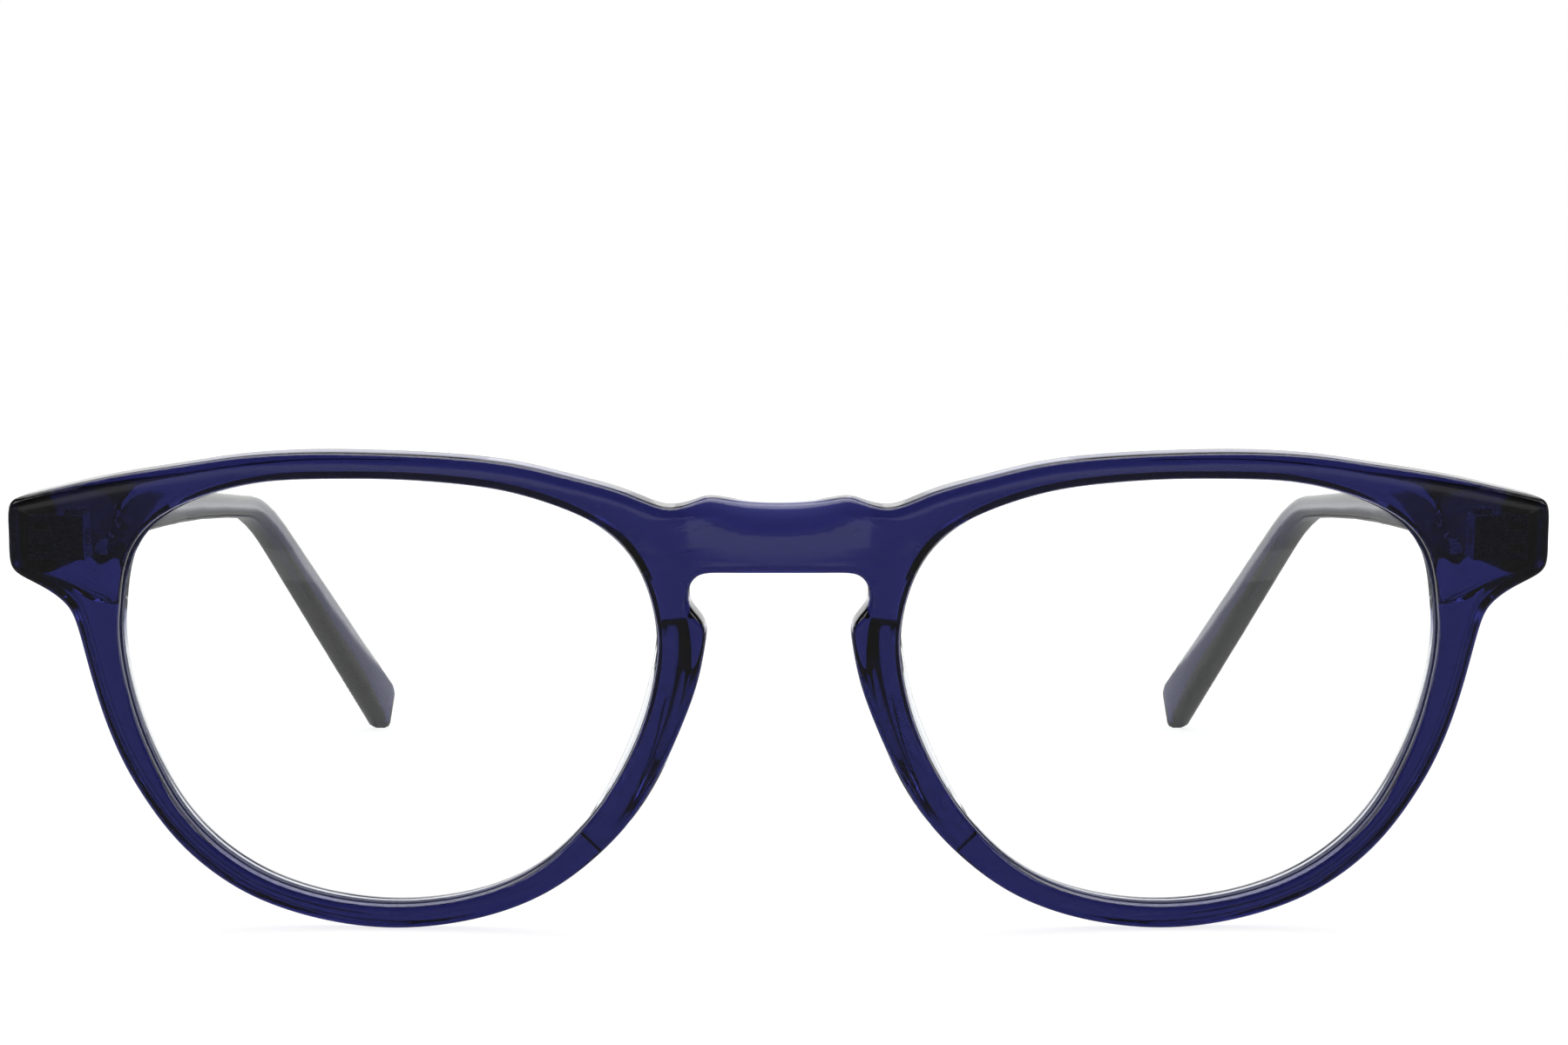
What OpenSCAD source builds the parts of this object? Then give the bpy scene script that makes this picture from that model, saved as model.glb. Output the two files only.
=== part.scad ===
// Oval keyhole-bridge eyeglasses in laminated acetate, navy over crystal, standing open on a table.
// Millimetres. +Z is up, the front faces -Y and the temples run towards +Y.
// The wearer's right side lies at -X. The origin is on the table under the middle of the open glasses.

/* [Front] */
// Width of one lens opening
opening_w = 48.4; // [44:0.2:52]
// Height of one lens opening
opening_h = 39.1; // [35:0.1:43]
// Distance between the two lens openings
bridge_w = 22; // [19:0.5:25]
// Thickness of the front, both layers together
front_t = 4.3; // [4:0.1:5.2]
// Thickness of the crystal layer behind the navy one
crystal_t = 1.4; // [1.2:0.1:1.6]
// Forward lean of the front, in degrees
front_tilt = 5.5; // [2:0.5:9]
// Radius of the bend of the front, seen from above
bend_r = 690; // [400:10:1200]
// Rounding of the outer edges of the front
edge_r = 0.7; // [0.3:0.05:0.9]

/* [Rims] */
// Width of the rim above the lens
rim_top = 2.3; // [1.8:0.1:3.2]
// Width of the rim under the lens
rim_bottom = 2.2; // [1.8:0.1:3.2]
// Width of the rim beside the nose
rim_nasal = 3.2; // [2.6:0.1:4]
// Width of the rim on the temple side
rim_side = 2.9; // [2.4:0.1:3.6]
// Depth of the lens groove in the rim
groove_d = 0.7; // [0.6:0.05:0.8]

/* [Bridge] */
// Height of the bridge bar
bridge_h = 6.1; // [5:0.1:7.5]
// Height of the middle of the bridge bar above the middle of the lens
bridge_rise = 14.2; // [12:0.1:15]
// Half width of the keyhole where it bulges
keyhole_bulge = 8.05; // [7.2:0.05:8.4]
// Half width of the keyhole at its neck
keyhole_neck = 6.5; // [5.8:0.05:7]
// Width of the round saddle that is hollowed into the back of the bridge
saddle_w = 17.4; // [12:0.2:18]
// Depth of the saddle
saddle_d = 1; // [0.5:0.1:1.1]
// Rounding of the top front edge of the bridge, on its middle line
bridge_r = 2.3; // [0.7:0.1:2.4]
// Depth, at its top, of the panel that is planed into the front of the bridge
panel_d = 0.2; // [0.1:0.05:0.3]
// Width of this panel
panel_w = 16.4; // [15:0.1:17]

/* [Endpieces] */
// Reach of an endpiece beyond the lens opening
endpiece_reach = 10.1; // [9:0.1:12]
// Height of an endpiece at its outer end
endpiece_h = 7.3; // [6.4:0.1:8.4]
// Height of the middle of an endpiece above the middle of the lens
endpiece_rise = 13.95; // [12:0.1:15]
// Step by which an endpiece is thicker than the rims, at the back
endpiece_step = 0.7; // [0.4:0.1:1]
// Distance of the step from the endpiece's side face
step_reach = 9.4; // [8:0.1:11]

/* [Lenses] */
// Thickness of a lens
lens_t = 1.3; // [1:0.1:1.4]
// Rise of the lens middle before its edge
lens_dome = 1.1; // [0.6:0.1:2]

/* [Nose pads] */
// Height of a nose pad behind the front
pad_h = 4; // [2.5:0.1:5]
// Width of a nose pad across the rim
pad_w = 4.4; // [3.6:0.1:5]
// Angle round the lens at which the nose pads start, with 180 at the nose
pad_top_at = 162; // [158:1:176]
// Angle round the lens at which the nose pads end
pad_low_at = 224; // [212:1:234]

/* [Hinges] */
// Outer diameter of the hinge barrels
barrel_d = 2.5; // [2:0.1:2.8]
// Height of one of the three barrels
barrel_h = 1.25; // [1.1:0.05:1.5]
// Play between two barrels
barrel_play = 0.05; // [0.03:0.01:0.1]
// Diameter of the hinge screw
screw_d = 1.2; // [1:0.1:1.4]
// Play of the screw in the barrels, on the radius
screw_play = 0.04; // [0.02:0.01:0.08]
// Diameter of the screw head
screw_head_d = 1.9; // [1.6:0.1:2.2]
// Height of the screw head
screw_head_h = 0.5; // [0.3:0.05:0.8]
// Width of the two windows in the foot that is sunk into the front
window_w = 1.9; // [1.4:0.1:2.1]
// Height of these windows
window_h = 0.8; // [0.6:0.05:1]
// Rim of a foot above and below the three barrels
foot_rim = 0.1; // [0.05:0.05:0.3]
// Thickness of both feet
foot_t = 0.9; // [0.7:0.05:1]
// Length of the foot that is sunk into the temple
temple_foot_l = 9; // [7:0.5:12]

/* [Temples] */
// Distance of the temple's outer face from the side face of the endpiece
temple_inset = 0.05; // [0:0.05:0.4]
// Length of the straight part behind the front
straight_l = 89.5; // [78:0.5:96]
// Length of the ear part, from the start of the bend to the tip
ear_l = 67; // [58:0.5:74]
// Radius of the bend over the ear
bend_round = 28.5; // [18:0.5:36]
// Turn of the straight part towards the head, in degrees
temple_turn = 2.1; // [1:0.1:3]
// Turn of the ear part towards the head, in degrees
ear_turn = 10.4; // [6:0.2:14]
// Fall of the straight part towards the ear, in degrees
temple_fall = 1.7; // [0:0.1:2.5]
// Arch of the straight part, in degrees at its two ends
temple_arch = 2.1; // [0:0.1:3]
// Height of the temple at the hinge
temple_h = 6.8; // [6:0.1:7.4]
// Height of the temple where it bends
bend_h = 2.7; // [2.5:0.1:4.5]
// Height of the temple near the tip
tip_h = 6.5; // [5:0.1:8]
// Thickness of the temple at the hinge
temple_t = 3.5; // [3:0.1:3.6]
// Thickness of the temple at the tip
tip_t = 2.8; // [2.6:0.1:3.4]
// Thickness of the crystal layer on the inner side of the temple
temple_crystal_t = 1.3; // [1.1:0.1:1.5]
// Rounding of the long edges of the temple
temple_r = 0.8; // [0.4:0.1:1]

/* [Hidden] */
NAVY = [0.16, 0.17, 0.46];
CRYSTAL = [0.86, 0.89, 0.92, 0.5];
CLEAR = [0.85, 0.93, 0.93, 0.3];
STEEL = [0.72, 0.72, 0.74];

// Glue line and fitting gap between bonded pieces
glue = 0.02;
// Running gap between the end of a temple and the back of the front
butt_gap = 0.12;
// Middle of a lens opening, measured along the bent front and up it
eye_u = bridge_w / 2 + opening_w / 2;
eye_v = rim_bottom + opening_h / 2;
face_t = front_t - crystal_t;
end_t = front_t + endpiece_step;

// Lens shape: radii of the opening at every 20 degrees, as shares of its half width and half height.
// 0 is the temple side, 90 the top and 180 the nose side.
EYE_RADII = [0.98, 1.068, 1.175, 1.105, 1.012, 1.003, 1.064, 1.124, 1.062,
             0.98, 0.94, 0.953, 0.995, 1.002, 1.001, 1, 0.977, 0.951];
EYE_STEP = 360 / len(EYE_RADII);

// Value of a smooth curve through p1 and p2, with p0 before and p3 after them, at the share t
function smooth(p0, p1, p2, p3, t) =
    (2 * p1 + (p2 - p0) * t + (2 * p0 - 5 * p1 + 4 * p2 - p3) * t * t
     + (3 * p1 - p0 - 3 * p2 + p3) * t * t * t) / 2;

function eye_radius(phi) =
    let (n = len(EYE_RADII), k = floor(phi / EYE_STEP), t = phi / EYE_STEP - k)
    smooth(EYE_RADII[(k + n - 1) % n], EYE_RADII[(k + n) % n],
           EYE_RADII[(k + n + 1) % n], EYE_RADII[(k + n + 2) % n], t);
// Point of the lens opening at the angle phi, from the middle of the opening
function eye_arm(phi) =
    eye_radius(phi) * [cos(phi) * opening_w / 2, sin(phi) * opening_h / 2];
function eye(phi) = [eye_u, eye_v] + eye_arm(phi);
function unit(v) = v / norm(v);
// Direction out of the opening, square to its edge
function eye_out(phi) =
    let (d = eye_arm(phi + 1) - eye_arm(phi - 1)) unit([d.y, -d.x]);

// The front is drawn flat, with u to the side, v up and w to the back, then bent and leaned
function bent(u, v, w) =
    let (a = u / bend_r * 180 / PI, back = bend_r - (bend_r - w) * cos(a))
    [(bend_r - w) * sin(a),
     back * cos(front_tilt) - v * sin(front_tilt),
     v * cos(front_tilt) + back * sin(front_tilt)];

// Outline of the right half of the front. Each point is [u, v, phi], where phi is the angle
// of the point of the lens opening that it is joined to.
function rim(phi, width) =
    let (p = eye(phi) + width * eye_out(phi)) [p.x, p.y, phi];
bar_top = eye_v + bridge_rise + bridge_h / 2;
bar_under = bar_top - bridge_h;
// Side face of an endpiece, and the height of its two corners
end_u = eye_u + opening_w / 2 + endpiece_reach;
end_top = eye_v + endpiece_rise + endpiece_h / 2;
end_low = end_top - endpiece_h;
// Height at which the temples are hinged
axis_v = (end_top + end_low) / 2 - 0.4;

// Top edge of the bridge, with its two raised corners and the dips beside them
BRIDGE_TOP = [
    [0, bar_top, 144.2], [3.4, bar_top + 0.18, 144], [6.2, bar_top + 0.66, 143.4],
    [7.9, bar_top + 0.12, 142.2], [9.8, bar_top - 0.24, 139.8], [11.6, bar_top + 0.26, 137.2]
];
RIM_TOP = [
    rim(134.5, rim_top + 1.3), rim(126, rim_top + 0.5), rim(115, rim_top + 0.2),
    rim(102, rim_top + 0.05), rim(88, rim_top), rim(74, rim_top + 0.12),
    rim(62, rim_top + 0.3), rim(52.5, rim_top + 0.9)
];
ENDPIECE = [
    [end_u - 9.6, end_top + 2, 43], [end_u - 4.2, end_top + 0.75, 36],
    [end_u - 1.3, end_top + 0.03, 33], [end_u - 0.38, end_top - 0.38, 31],
    [end_u, end_top - 1.3, 29.5], [end_u, (end_top + end_low) / 2, 26.5],
    [end_u, end_low + 1.6, 23.5], [end_u - 0.42, end_low + 0.52, 22],
    [end_u - 1.5, end_low - 0.2, 21], [end_u - 3.3, end_low - 1.1, 19.8],
    [end_u - 5, end_low - 2.35, 18], [end_u - 5.95, end_low - 4, 15.5]
];
RIM_LOW = [
    rim(8, rim_side + 0.3), rim(-3, rim_side), rim(-15, rim_side - 0.2),
    rim(-28, (rim_side + rim_bottom) / 2 - 0.15), rim(-43, rim_bottom + 0.05),
    rim(-59, rim_bottom), rim(-75, rim_bottom - 0.05), rim(-91, rim_bottom),
    rim(-107, rim_bottom), rim(-121, rim_bottom + 0.15), rim(-134, (rim_nasal + rim_bottom) / 2),
    rim(-148, rim_nasal - 0.1), rim(-162, rim_nasal), rim(-174, rim_nasal + 0.2),
    rim(-185, rim_nasal + 0.7)
];
KEYHOLE = [
    [keyhole_neck + 0.12, bar_under - 6.7, -193], [keyhole_neck, bar_under - 5.3, -195.5],
    [keyhole_neck + 0.28, bar_under - 4.4, -198], [keyhole_bulge - 0.75, bar_under - 3.7, -200],
    [keyhole_bulge - 0.17, bar_under - 2.9, -202.5], [keyhole_bulge, bar_under - 1.9, -206],
    [keyhole_bulge - 0.2, bar_under - 0.95, -209.5], [keyhole_bulge - 0.85, bar_under - 0.25, -211.5],
    [keyhole_bulge - 1.9, bar_under, -213], [keyhole_bulge / 2, bar_under, -214],
    [0, bar_under, -215]
];
OUTLINE = concat(BRIDGE_TOP, RIM_TOP, ENDPIECE, RIM_LOW, KEYHOLE);

// The smooth outline, with a station on each of its points and one between each two
outline_n = len(OUTLINE);
function mirrored(p, about) = [-p.x, p.y, 2 * about.z - p.z];
function outline_at(k) =
    k < 0 ? mirrored(OUTLINE[1], OUTLINE[0])
    : k >= outline_n ? mirrored(OUTLINE[outline_n - 2], OUTLINE[outline_n - 1])
    : OUTLINE[k];
STEPS = 2;
ring_n = (outline_n - 1) * STEPS + 1;
function ring_point(i) =
    let (k = min(outline_n - 2, max(0, floor(i / STEPS))), t = i / STEPS - k)
    smooth(outline_at(k - 1), outline_at(k), outline_at(k + 1), outline_at(k + 2), t);
// Greatest rounding of the front edge, which stays clear of the crystal layer
top_r = min(bridge_r, face_t - panel_d - 0.2);
// Stations on the middle line of the bridge, between the two ends of the outline
SEAM = [0.25, 0.5, 0.75];
station_n = ring_n + len(SEAM);
function seam_point(s) = [0, bar_under + (bridge_h - top_r) * s, -215 - 0.8 * s];
STATIONS = concat([for (i = [0:ring_n - 1]) ring_point(i)], [for (s = SEAM) seam_point(s)]);
function on_seam(k) = k == 0 || k >= ring_n - 1;
// Direction out of the front, square to its outline
function station_out(k) =
    k == 0 ? [0, 1]
    : k == ring_n - 1 ? [0, -1]
    : k >= ring_n ? [0, 0]
    : let (d = STATIONS[k + 1] - STATIONS[k - 1]) unit([-d.y, d.x]);

// The rounding of the front edge grows in an arc from edge_r to top_r on top of the bridge, and its
// depth grows by only a share of that
BRIDGE_SOFT = 9;
SOFT_RISE = 0.55;
function front_round(k) =
    let (s = STATIONS[k])
    s.y < bar_top - edge_r || k >= ring_n ? 1
    : 1 + (top_r / edge_r - 1) * max(0, 1 - pow(s.x / BRIDGE_SOFT, 2));

// The panel is planed deeper towards the top of the bridge, and runs out at its underside
panel_slope = 0.6;
function sunk(u, v) =
    let (side = (panel_w / 2 + panel_slope / 2 - u) / panel_slope, rise = (v - bar_under) / bridge_h)
    panel_d * min(1, max(0, side)) * min(1, max(0, rise));
// Point where the rounding of the front edge runs out into the front face
function face_start(k) =
    let (s = STATIONS[k]) [s.x, s.y] - front_round(k) * edge_r * station_out(k);
// Share of the way from there to the lens opening at which a line crosses the panel's side
function panel_share(k, inside) =
    let (
        from = face_start(k).x,
        u = panel_w / 2 + (inside ? -1 : 1) * panel_slope / 2,
        share = (u - from) / (eye(STATIONS[k].z).x - from)
    )
    from > panel_w / 2 + 1.5 ? (inside ? 0.4 : 0.5)
    : min(inside ? 0.75 : 0.85, max(inside ? 0.02 : 0.06, share));

// The back of an endpiece is raised by endpiece_step, up to a slope at step_u that faces the lens
step_u = end_u - step_reach;
step_slope = 0.5;
function raised(k) =
    let (s = STATIONS[k]) k < ring_n && s.x > step_u + step_slope && s.y > end_low - 1.2 ? 1 : 0;
// Share of the way from the outline to the lens opening at which a line crosses the slope
function step_share(k, at_foot) =
    let (
        s = STATIONS[k],
        u = step_u + (at_foot ? -1 : 1) * step_slope / 2,
        share = (s.x - u) / (s.x - eye(s.z).x)
    )
    raised(k) == 0 ? (at_foot ? 0.5 : 0.4) : min(at_foot ? 0.8 : 0.7, max(at_foot ? 0.2 : 0.1, share));

// Point of station k. A profile point is [side, inset, w, lift]: side 0 is measured from the lens
// opening into the rim and side 1 from the outline into the rim. Sides 2 and 3 lie between the two:
// 2 at the endpiece's step, where its inset says whether this is the foot, and 3 at the side of the
// bridge's panel, where its inset says whether this is inside. Lift 1 follows the step.
function rim_point(k, q) =
    let (
        s = STATIONS[k],
        soft = q[0] == 1 && q[2] <= edge_r ? front_round(k) : 1,
        rise = 1 + SOFT_RISE * (soft - 1),
        t = q[0] == 2 ? step_share(k, q[1]) : panel_share(k, q[1]),
        from = q[0] == 2 ? [s.x, s.y] : face_start(k),
        flat = q[0] == 0 ? eye(s.z) + q[1] * eye_out(s.z)
            : q[0] == 1 ? [s.x, s.y] - soft * q[1] * station_out(k)
            : (1 - t) * from + t * eye(s.z),
        cut = q[0] != 2 && q[2] <= edge_r ? sunk(flat.x, flat.y) : 0
    )
    bent(flat.x, flat.y, rise * q[2] + cut + q[3] * raised(k) * endpiece_step);

// A quarter round from the front or back face to the edge, as [inset, rise]
function edge_round(r, steps) =
    [for (i = [0:steps]) [r * (1 - sin(90 * i / steps)), r * (1 - cos(90 * i / steps))]];

// Both halves of a layer of the front as one closed skin, lofted round the lens openings.
// They share their points on the middle line of the bridge.
module front_layer(profile) {
    j_n = len(profile);
    right_pts = [for (k = [0:station_n - 1]) for (q = profile) rim_point(k, q)];
    left_pts = [for (p = right_pts) [-p.x, p.y, p.z]];
    function shared(k, j) = on_seam(k) && profile[j][0] == 1;
    function at(side, k, j) =
        side == 0 || shared(k, j) ? k * j_n + j : (station_n + k) * j_n + j;
    function wall(k, k2, j, j2) = shared(k, j) && shared(k2, j2) && shared(k, j2);
    faces = [
        for (side = [0, 1]) for (k = [0:station_n - 1]) for (j = [0:j_n - 1])
            let (k2 = (k + 1) % station_n, j2 = (j + 1) % j_n)
            if (!wall(k, k2, j, j2))
                for (tri = [[at(side, k, j), at(side, k2, j), at(side, k2, j2)],
                            [at(side, k, j), at(side, k2, j2), at(side, k, j2)]])
                    side == 1 ? tri : [tri[2], tri[1], tri[0]]
    ];
    polyhedron(concat(right_pts, left_pts), faces, convexity = 6);
}

// Profile of the navy layer: outer edge from the face back, then the opening with its groove
inner_r = 0.3;
groove_w = face_t - 0.95;
groove_half = groove_d;
FACE_PROFILE = concat(
    [for (e = edge_round(edge_r, 3)) [1, e[0], e[1], 0]],
    [[1, 0, face_t - glue, 0], [0, 0, face_t - glue, 0], [0, 0, groove_w + groove_half, 0],
     [0, groove_d, groove_w, 0], [0, 0, groove_w - groove_half, 0]],
    [for (e = edge_round(inner_r, 1)) [0, -e[0] + inner_r, inner_r - e[1], 0]],
    [[3, false, 0, 0], [3, true, 0, 0]]
);
// Profile of the crystal layer, with the step of the endpieces in its back
BACK_PROFILE = concat(
    [[0, 0, face_t, 0], [1, 0, face_t, 0]],
    [for (e = edge_round(edge_r, 2)) [1, e[1], front_t - e[0], 1]],
    [[2, false, front_t, 1], [2, true, front_t, 0], [0, inner_r, front_t, 0],
     [0, 0, front_t - inner_r, 0]]
);

// Sweep of closed rings with as many points each, closed by a fan at both ends
module loft(rings) {
    n = len(rings[0]);
    m = len(rings);
    caps = [for (r = [rings[0], rings[m - 1]]) [for (a = [0:2]) sum_of([for (p = r) p[a]]) / n]];
    faces = concat(
        [for (k = [0:m - 2]) for (j = [0:n - 1]) let (j2 = (j + 1) % n)
            for (tri = [[k * n + j, k * n + j2, (k + 1) * n + j2],
                        [k * n + j, (k + 1) * n + j2, (k + 1) * n + j]]) tri],
        [for (j = [0:n - 1]) [(j + 1) % n, j, m * n]],
        [for (j = [0:n - 1]) [(m - 1) * n + j, (m - 1) * n + (j + 1) % n, m * n + 1]]
    );
    polyhedron([for (r = rings) for (p = r) p, for (c = caps) c], faces, convexity = 4);
}
function sum_of(list, i = 0) = i < len(list) ? list[i] + sum_of(list, i + 1) : 0;

// Everything with a left and a right copy is drawn for the wearer's left, at +X
module on_side(side) {
    if (side == "left") children();
    else mirror([1, 0, 0]) children();
}

// Hinge axis: inside the inner face of the temple and behind the endpiece
hinge_gap = 0.15;
barrel_r = barrel_d / 2;
screw_r = screw_d / 2;
bore_r = screw_r + screw_play;
inner_x = bent(end_u, axis_v, end_t).x - temple_inset - temple_t;
axis_x = inner_x - barrel_r - hinge_gap;
axis_back = end_t + barrel_r + hinge_gap;
// The flat front is bent by about this angle at the endpieces
end_turn = axis_x / (bend_r - end_t) * 180 / PI;
axis_u = axis_x * bend_r / (bend_r - axis_back);
axis_at = bent(axis_u, axis_v, axis_back);
stack_h = 3 * barrel_h + 2 * barrel_play;
foot_h = stack_h + 2 * foot_rim;
// Steel left on both sides of a window, the webs of the barrels apart
foot_lap = 0.3;
foot_w = barrel_d + window_w + 2 * foot_lap;

// Places its child with Z along the hinge axis and Y square to the back of the endpiece
module at_axis() {
    translate(axis_at) rotate([front_tilt, 0, 0]) children();
}
module square_to_front() {
    at_axis() rotate([0, 0, end_turn]) children();
}

// The foot that is sunk into the back of the endpiece: a plate with two windows beside the webs
window_gap = foot_h / 2;
module front_foot(grow) {
    translate([0, end_t - axis_back + grow, 0])
        rotate([90, 0, 0])
            linear_extrude(foot_t + 2 * grow)
                difference() {
                    translate([-barrel_r - grow, -foot_h / 2 - grow])
                        square([foot_w + 2 * grow, foot_h + 2 * grow]);
                    for (s = [-1, 1])
                        translate([foot_w - barrel_r - foot_lap - window_w + grow,
                                   s * window_gap / 2 - window_h / 2 + grow])
                            square([window_w - 2 * grow, window_h - 2 * grow]);
                }
}

module front_face_layer() {
    color(NAVY) front_layer(FACE_PROFILE);
}

// Round hollow in the back of the bridge, deepest a little below the bar
SADDLE_RINGS = [1, 0.8, 0.6, 0.4, 0.2];
SADDLE_STEP = 15;
saddle_v = bar_under - 1;
module saddle() {
    function ring(share, w) =
        [for (a = [0:SADDLE_STEP:360 - SADDLE_STEP])
            bent(share * saddle_w / 2 * cos(a), saddle_v - share * saddle_w / 2 * sin(a), w)];
    loft(concat(
        [ring(1, end_t)],
        [for (f = SADDLE_RINGS) ring(f, front_t + glue - (saddle_d + glue) * (1 - f * f))]
    ));
}

module front_crystal_layer() {
    color(CRYSTAL)
        difference() {
            front_layer(BACK_PROFILE);
            saddle();
            for (side = ["left", "right"])
                on_side(side) square_to_front() front_foot(glue);
        }
}

// Lens: rings from the middle of the front face over the bevelled edge to the middle of the back.
// The bevel slopes at 45 degrees, as the groove does, and lens_fit is the gap between the two.
LENS_STEP = 7.5;
lens_fit = 0.05;
lens_tip = groove_d - lens_fit * sqrt(2);
lens_edge = lens_tip - lens_t / 2;
DOME_RINGS = [0.4, 0.75];
function lens_point(phi, share, out, w) =
    let (flat = [eye_u, eye_v] + share * (eye_arm(phi) + out * eye_out(phi)))
    bent(flat.x, flat.y, w);
function lens_face(w, phi_list) =
    [for (f = DOME_RINGS) [for (phi = phi_list) lens_point(phi, f, lens_edge, w - lens_dome * (1 - f * f))]];
function flipped(list) = [for (i = [len(list) - 1:-1:0]) list[i]];
module lens() {
    angles = [0:LENS_STEP:360 - LENS_STEP];
    phi_list = [for (phi = angles) phi];
    n = len(phi_list);
    front_w = groove_w - lens_t / 2;
    back_w = groove_w + lens_t / 2;
    rings = concat(
        lens_face(front_w, phi_list),
        [[for (phi = phi_list) lens_point(phi, 1, lens_edge, front_w)],
         [for (phi = phi_list) lens_point(phi, 1, lens_tip, groove_w)],
         [for (phi = phi_list) lens_point(phi, 1, lens_edge, back_w)]],
        flipped(lens_face(back_w, phi_list))
    );
    color(CLEAR) loft(rings);
}

// Nose pad: a crest of crystal acetate along the nose side of the rim. Each section point is
// [place across the pad as a share of its width, share of its height].
PAD_STEPS = 14;
PAD_SECTION = [[-0.42, 0], [-0.5, 0.35], [-0.39, 0.75], [-0.12, 1], [0.14, 0.9], [0.34, 0.5], [0.44, 0]];
// Distance of the pad's middle from the edge of the lens opening, at its top and at its low end
PAD_MID = [1.3, 1.75];
// Share of its width that the pad has at its blunt ends
PAD_END = 0.6;
function pad_ring(s) =
    let (
        phi = pad_top_at - 360 + (pad_low_at - pad_top_at) * s,
        swell = sqrt(sin(180 * (0.01 + 0.98 * s))),
        wide = pad_w * (PAD_END + (1 - PAD_END) * swell),
        mid = PAD_MID[0] + (PAD_MID[1] - PAD_MID[0]) * s
    )
    [for (q = PAD_SECTION)
        let (p = eye(phi) + (mid + q[0] * wide) * eye_out(phi))
        bent(p.x, p.y, front_t + glue + q[1] * pad_h * swell)];
module nose_pad() {
    color(CRYSTAL) loft([for (i = [0:PAD_STEPS]) pad_ring((1 - cos(180 * i / PAD_STEPS)) / 2)]);
}

module barrel(place) {
    translate([0, 0, -stack_h / 2 + place * (barrel_h + barrel_play)])
        children();
}
BARREL_FN = 40;

module hinge_front_leaf() {
    color(STEEL)
        square_to_front()
            difference() {
                union() {
                    front_foot(0);
                    for (place = [0, 2])
                        barrel(place) {
                            cylinder(r = barrel_r, h = barrel_h, $fn = BARREL_FN);
                            translate([-barrel_r, end_t - axis_back - foot_t / 2, 0])
                                cube([2 * barrel_r, axis_back - end_t + foot_t / 2, barrel_h]);
                        }
                }
                translate([0, 0, -stack_h])
                    cylinder(r = bore_r, h = 2 * stack_h, $fn = BARREL_FN);
            }
}

slot_w = 0.3;
slot_d = 0.25;
module hinge_screw() {
    color(STEEL)
        square_to_front() {
            translate([0, 0, -stack_h / 2 + barrel_play])
                cylinder(r = screw_r, h = stack_h, $fn = BARREL_FN);
            translate([0, 0, stack_h / 2 + glue])
                difference() {
                    cylinder(d = screw_head_d, h = screw_head_h, $fn = BARREL_FN);
                    translate([-screw_head_d, -slot_w / 2, screw_head_h - slot_d])
                        cube([2 * screw_head_d, slot_w, slot_d + 1]);
                }
        }
}

// Start of the temple: the middle of its inner face, just behind the endpiece
butt_at = bent(end_u - temple_t / 2, axis_v, end_t + butt_gap);
butt_out = let (t = (end_u - temple_t / 2) / bend_r * 180 / PI)
    [-sin(t), cos(t) * cos(front_tilt), cos(t) * sin(front_tilt)];
temple_start = [inner_x, butt_at.y, axis_at.z];

// Directions of the temple at the length s behind the hinge, as fall and turn in degrees
EAR_ANGLE = 30;
arc_l = bend_round * EAR_ANGLE * PI / 180;
start_fall = temple_fall + temple_arch;
function fall_at(s, drop) =
    s <= straight_l ? temple_fall - temple_arch * cos(180 * s / straight_l)
    : start_fall + (drop - start_fall) * min(1, (s - straight_l) / arc_l);
function turn_at(s) =
    s <= straight_l ? temple_turn
    : temple_turn + (ear_turn - temple_turn) * min(1, (s - straight_l) / arc_l);
function along(fall, turn) = [-sin(turn) * cos(fall), cos(turn) * cos(fall), -sin(fall)];
function upward(fall, turn) = [-sin(turn) * sin(fall), cos(turn) * sin(fall), cos(fall)];
function outward(turn) = [cos(turn), sin(turn), 0];

// Lengths at which the temple has a section: the straight part, the bend, the ear part, the tip
temple_l = straight_l + ear_l;
tip_round = 1.6;
TEMPLE_S = concat(
    [for (i = [0:6]) straight_l * i / 7],
    [for (i = [0:6]) straight_l + (arc_l + 4) * (i - 0.5) / 6],
    [for (i = [1:4]) straight_l + arc_l + 4 + (ear_l - arc_l - 4 - tip_round) * i / 4],
    [temple_l - tip_round * 0.4, temple_l - tip_round * 0.1, temple_l]
);
section_n = len(TEMPLE_S);
// Shares of the section that the rounded tip keeps at its last stations
TIP_KEEP = [1, 0.93, 0.84, 0.7];
function keep_at(k) = TIP_KEEP[max(0, k - section_n + len(TIP_KEEP))];

// Points of the middle of the inner face, each one step on from the last
function spine(drop, k = 0, at = temple_start) =
    k == section_n - 1 ? [at]
    : let (
        step = TEMPLE_S[k + 1] - TEMPLE_S[k],
        mid = (TEMPLE_S[k + 1] + TEMPLE_S[k]) / 2
    )
    concat([at], spine(drop, k + 1, at + step * along(fall_at(mid, drop), turn_at(mid))));
function height_at(s) =
    s < straight_l ? temple_h + (bend_h - temple_h) * sin(90 * s / straight_l)
    : bend_h + (tip_h - bend_h) * (s - straight_l) / ear_l;
function thick_at(s) = temple_t + (tip_t - temple_t) * s / temple_l;

// Section of a temple layer between two depths from the inner face, with its outer corners rounded
CORNER = 3;
function corner(o, z, so, sz) =
    [for (i = [0:CORNER - 1]) let (a = 90 * i / (CORNER - 1))
        [o - so * temple_r * (1 - sin(a)), z - sz * temple_r * (1 - cos(a))]];
function outer_section(t, h) = concat(
    [[temple_crystal_t + glue, -h / 2]], corner(t, -h / 2, 1, -1),
    flipped(corner(t, h / 2, 1, 1)), [[temple_crystal_t + glue, h / 2]]);
function inner_section(t, h) = concat(
    [[temple_crystal_t, h / 2]], corner(0, h / 2, -1, 1),
    flipped(corner(0, -h / 2, -1, -1)), [[temple_crystal_t, -h / 2]]);

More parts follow.
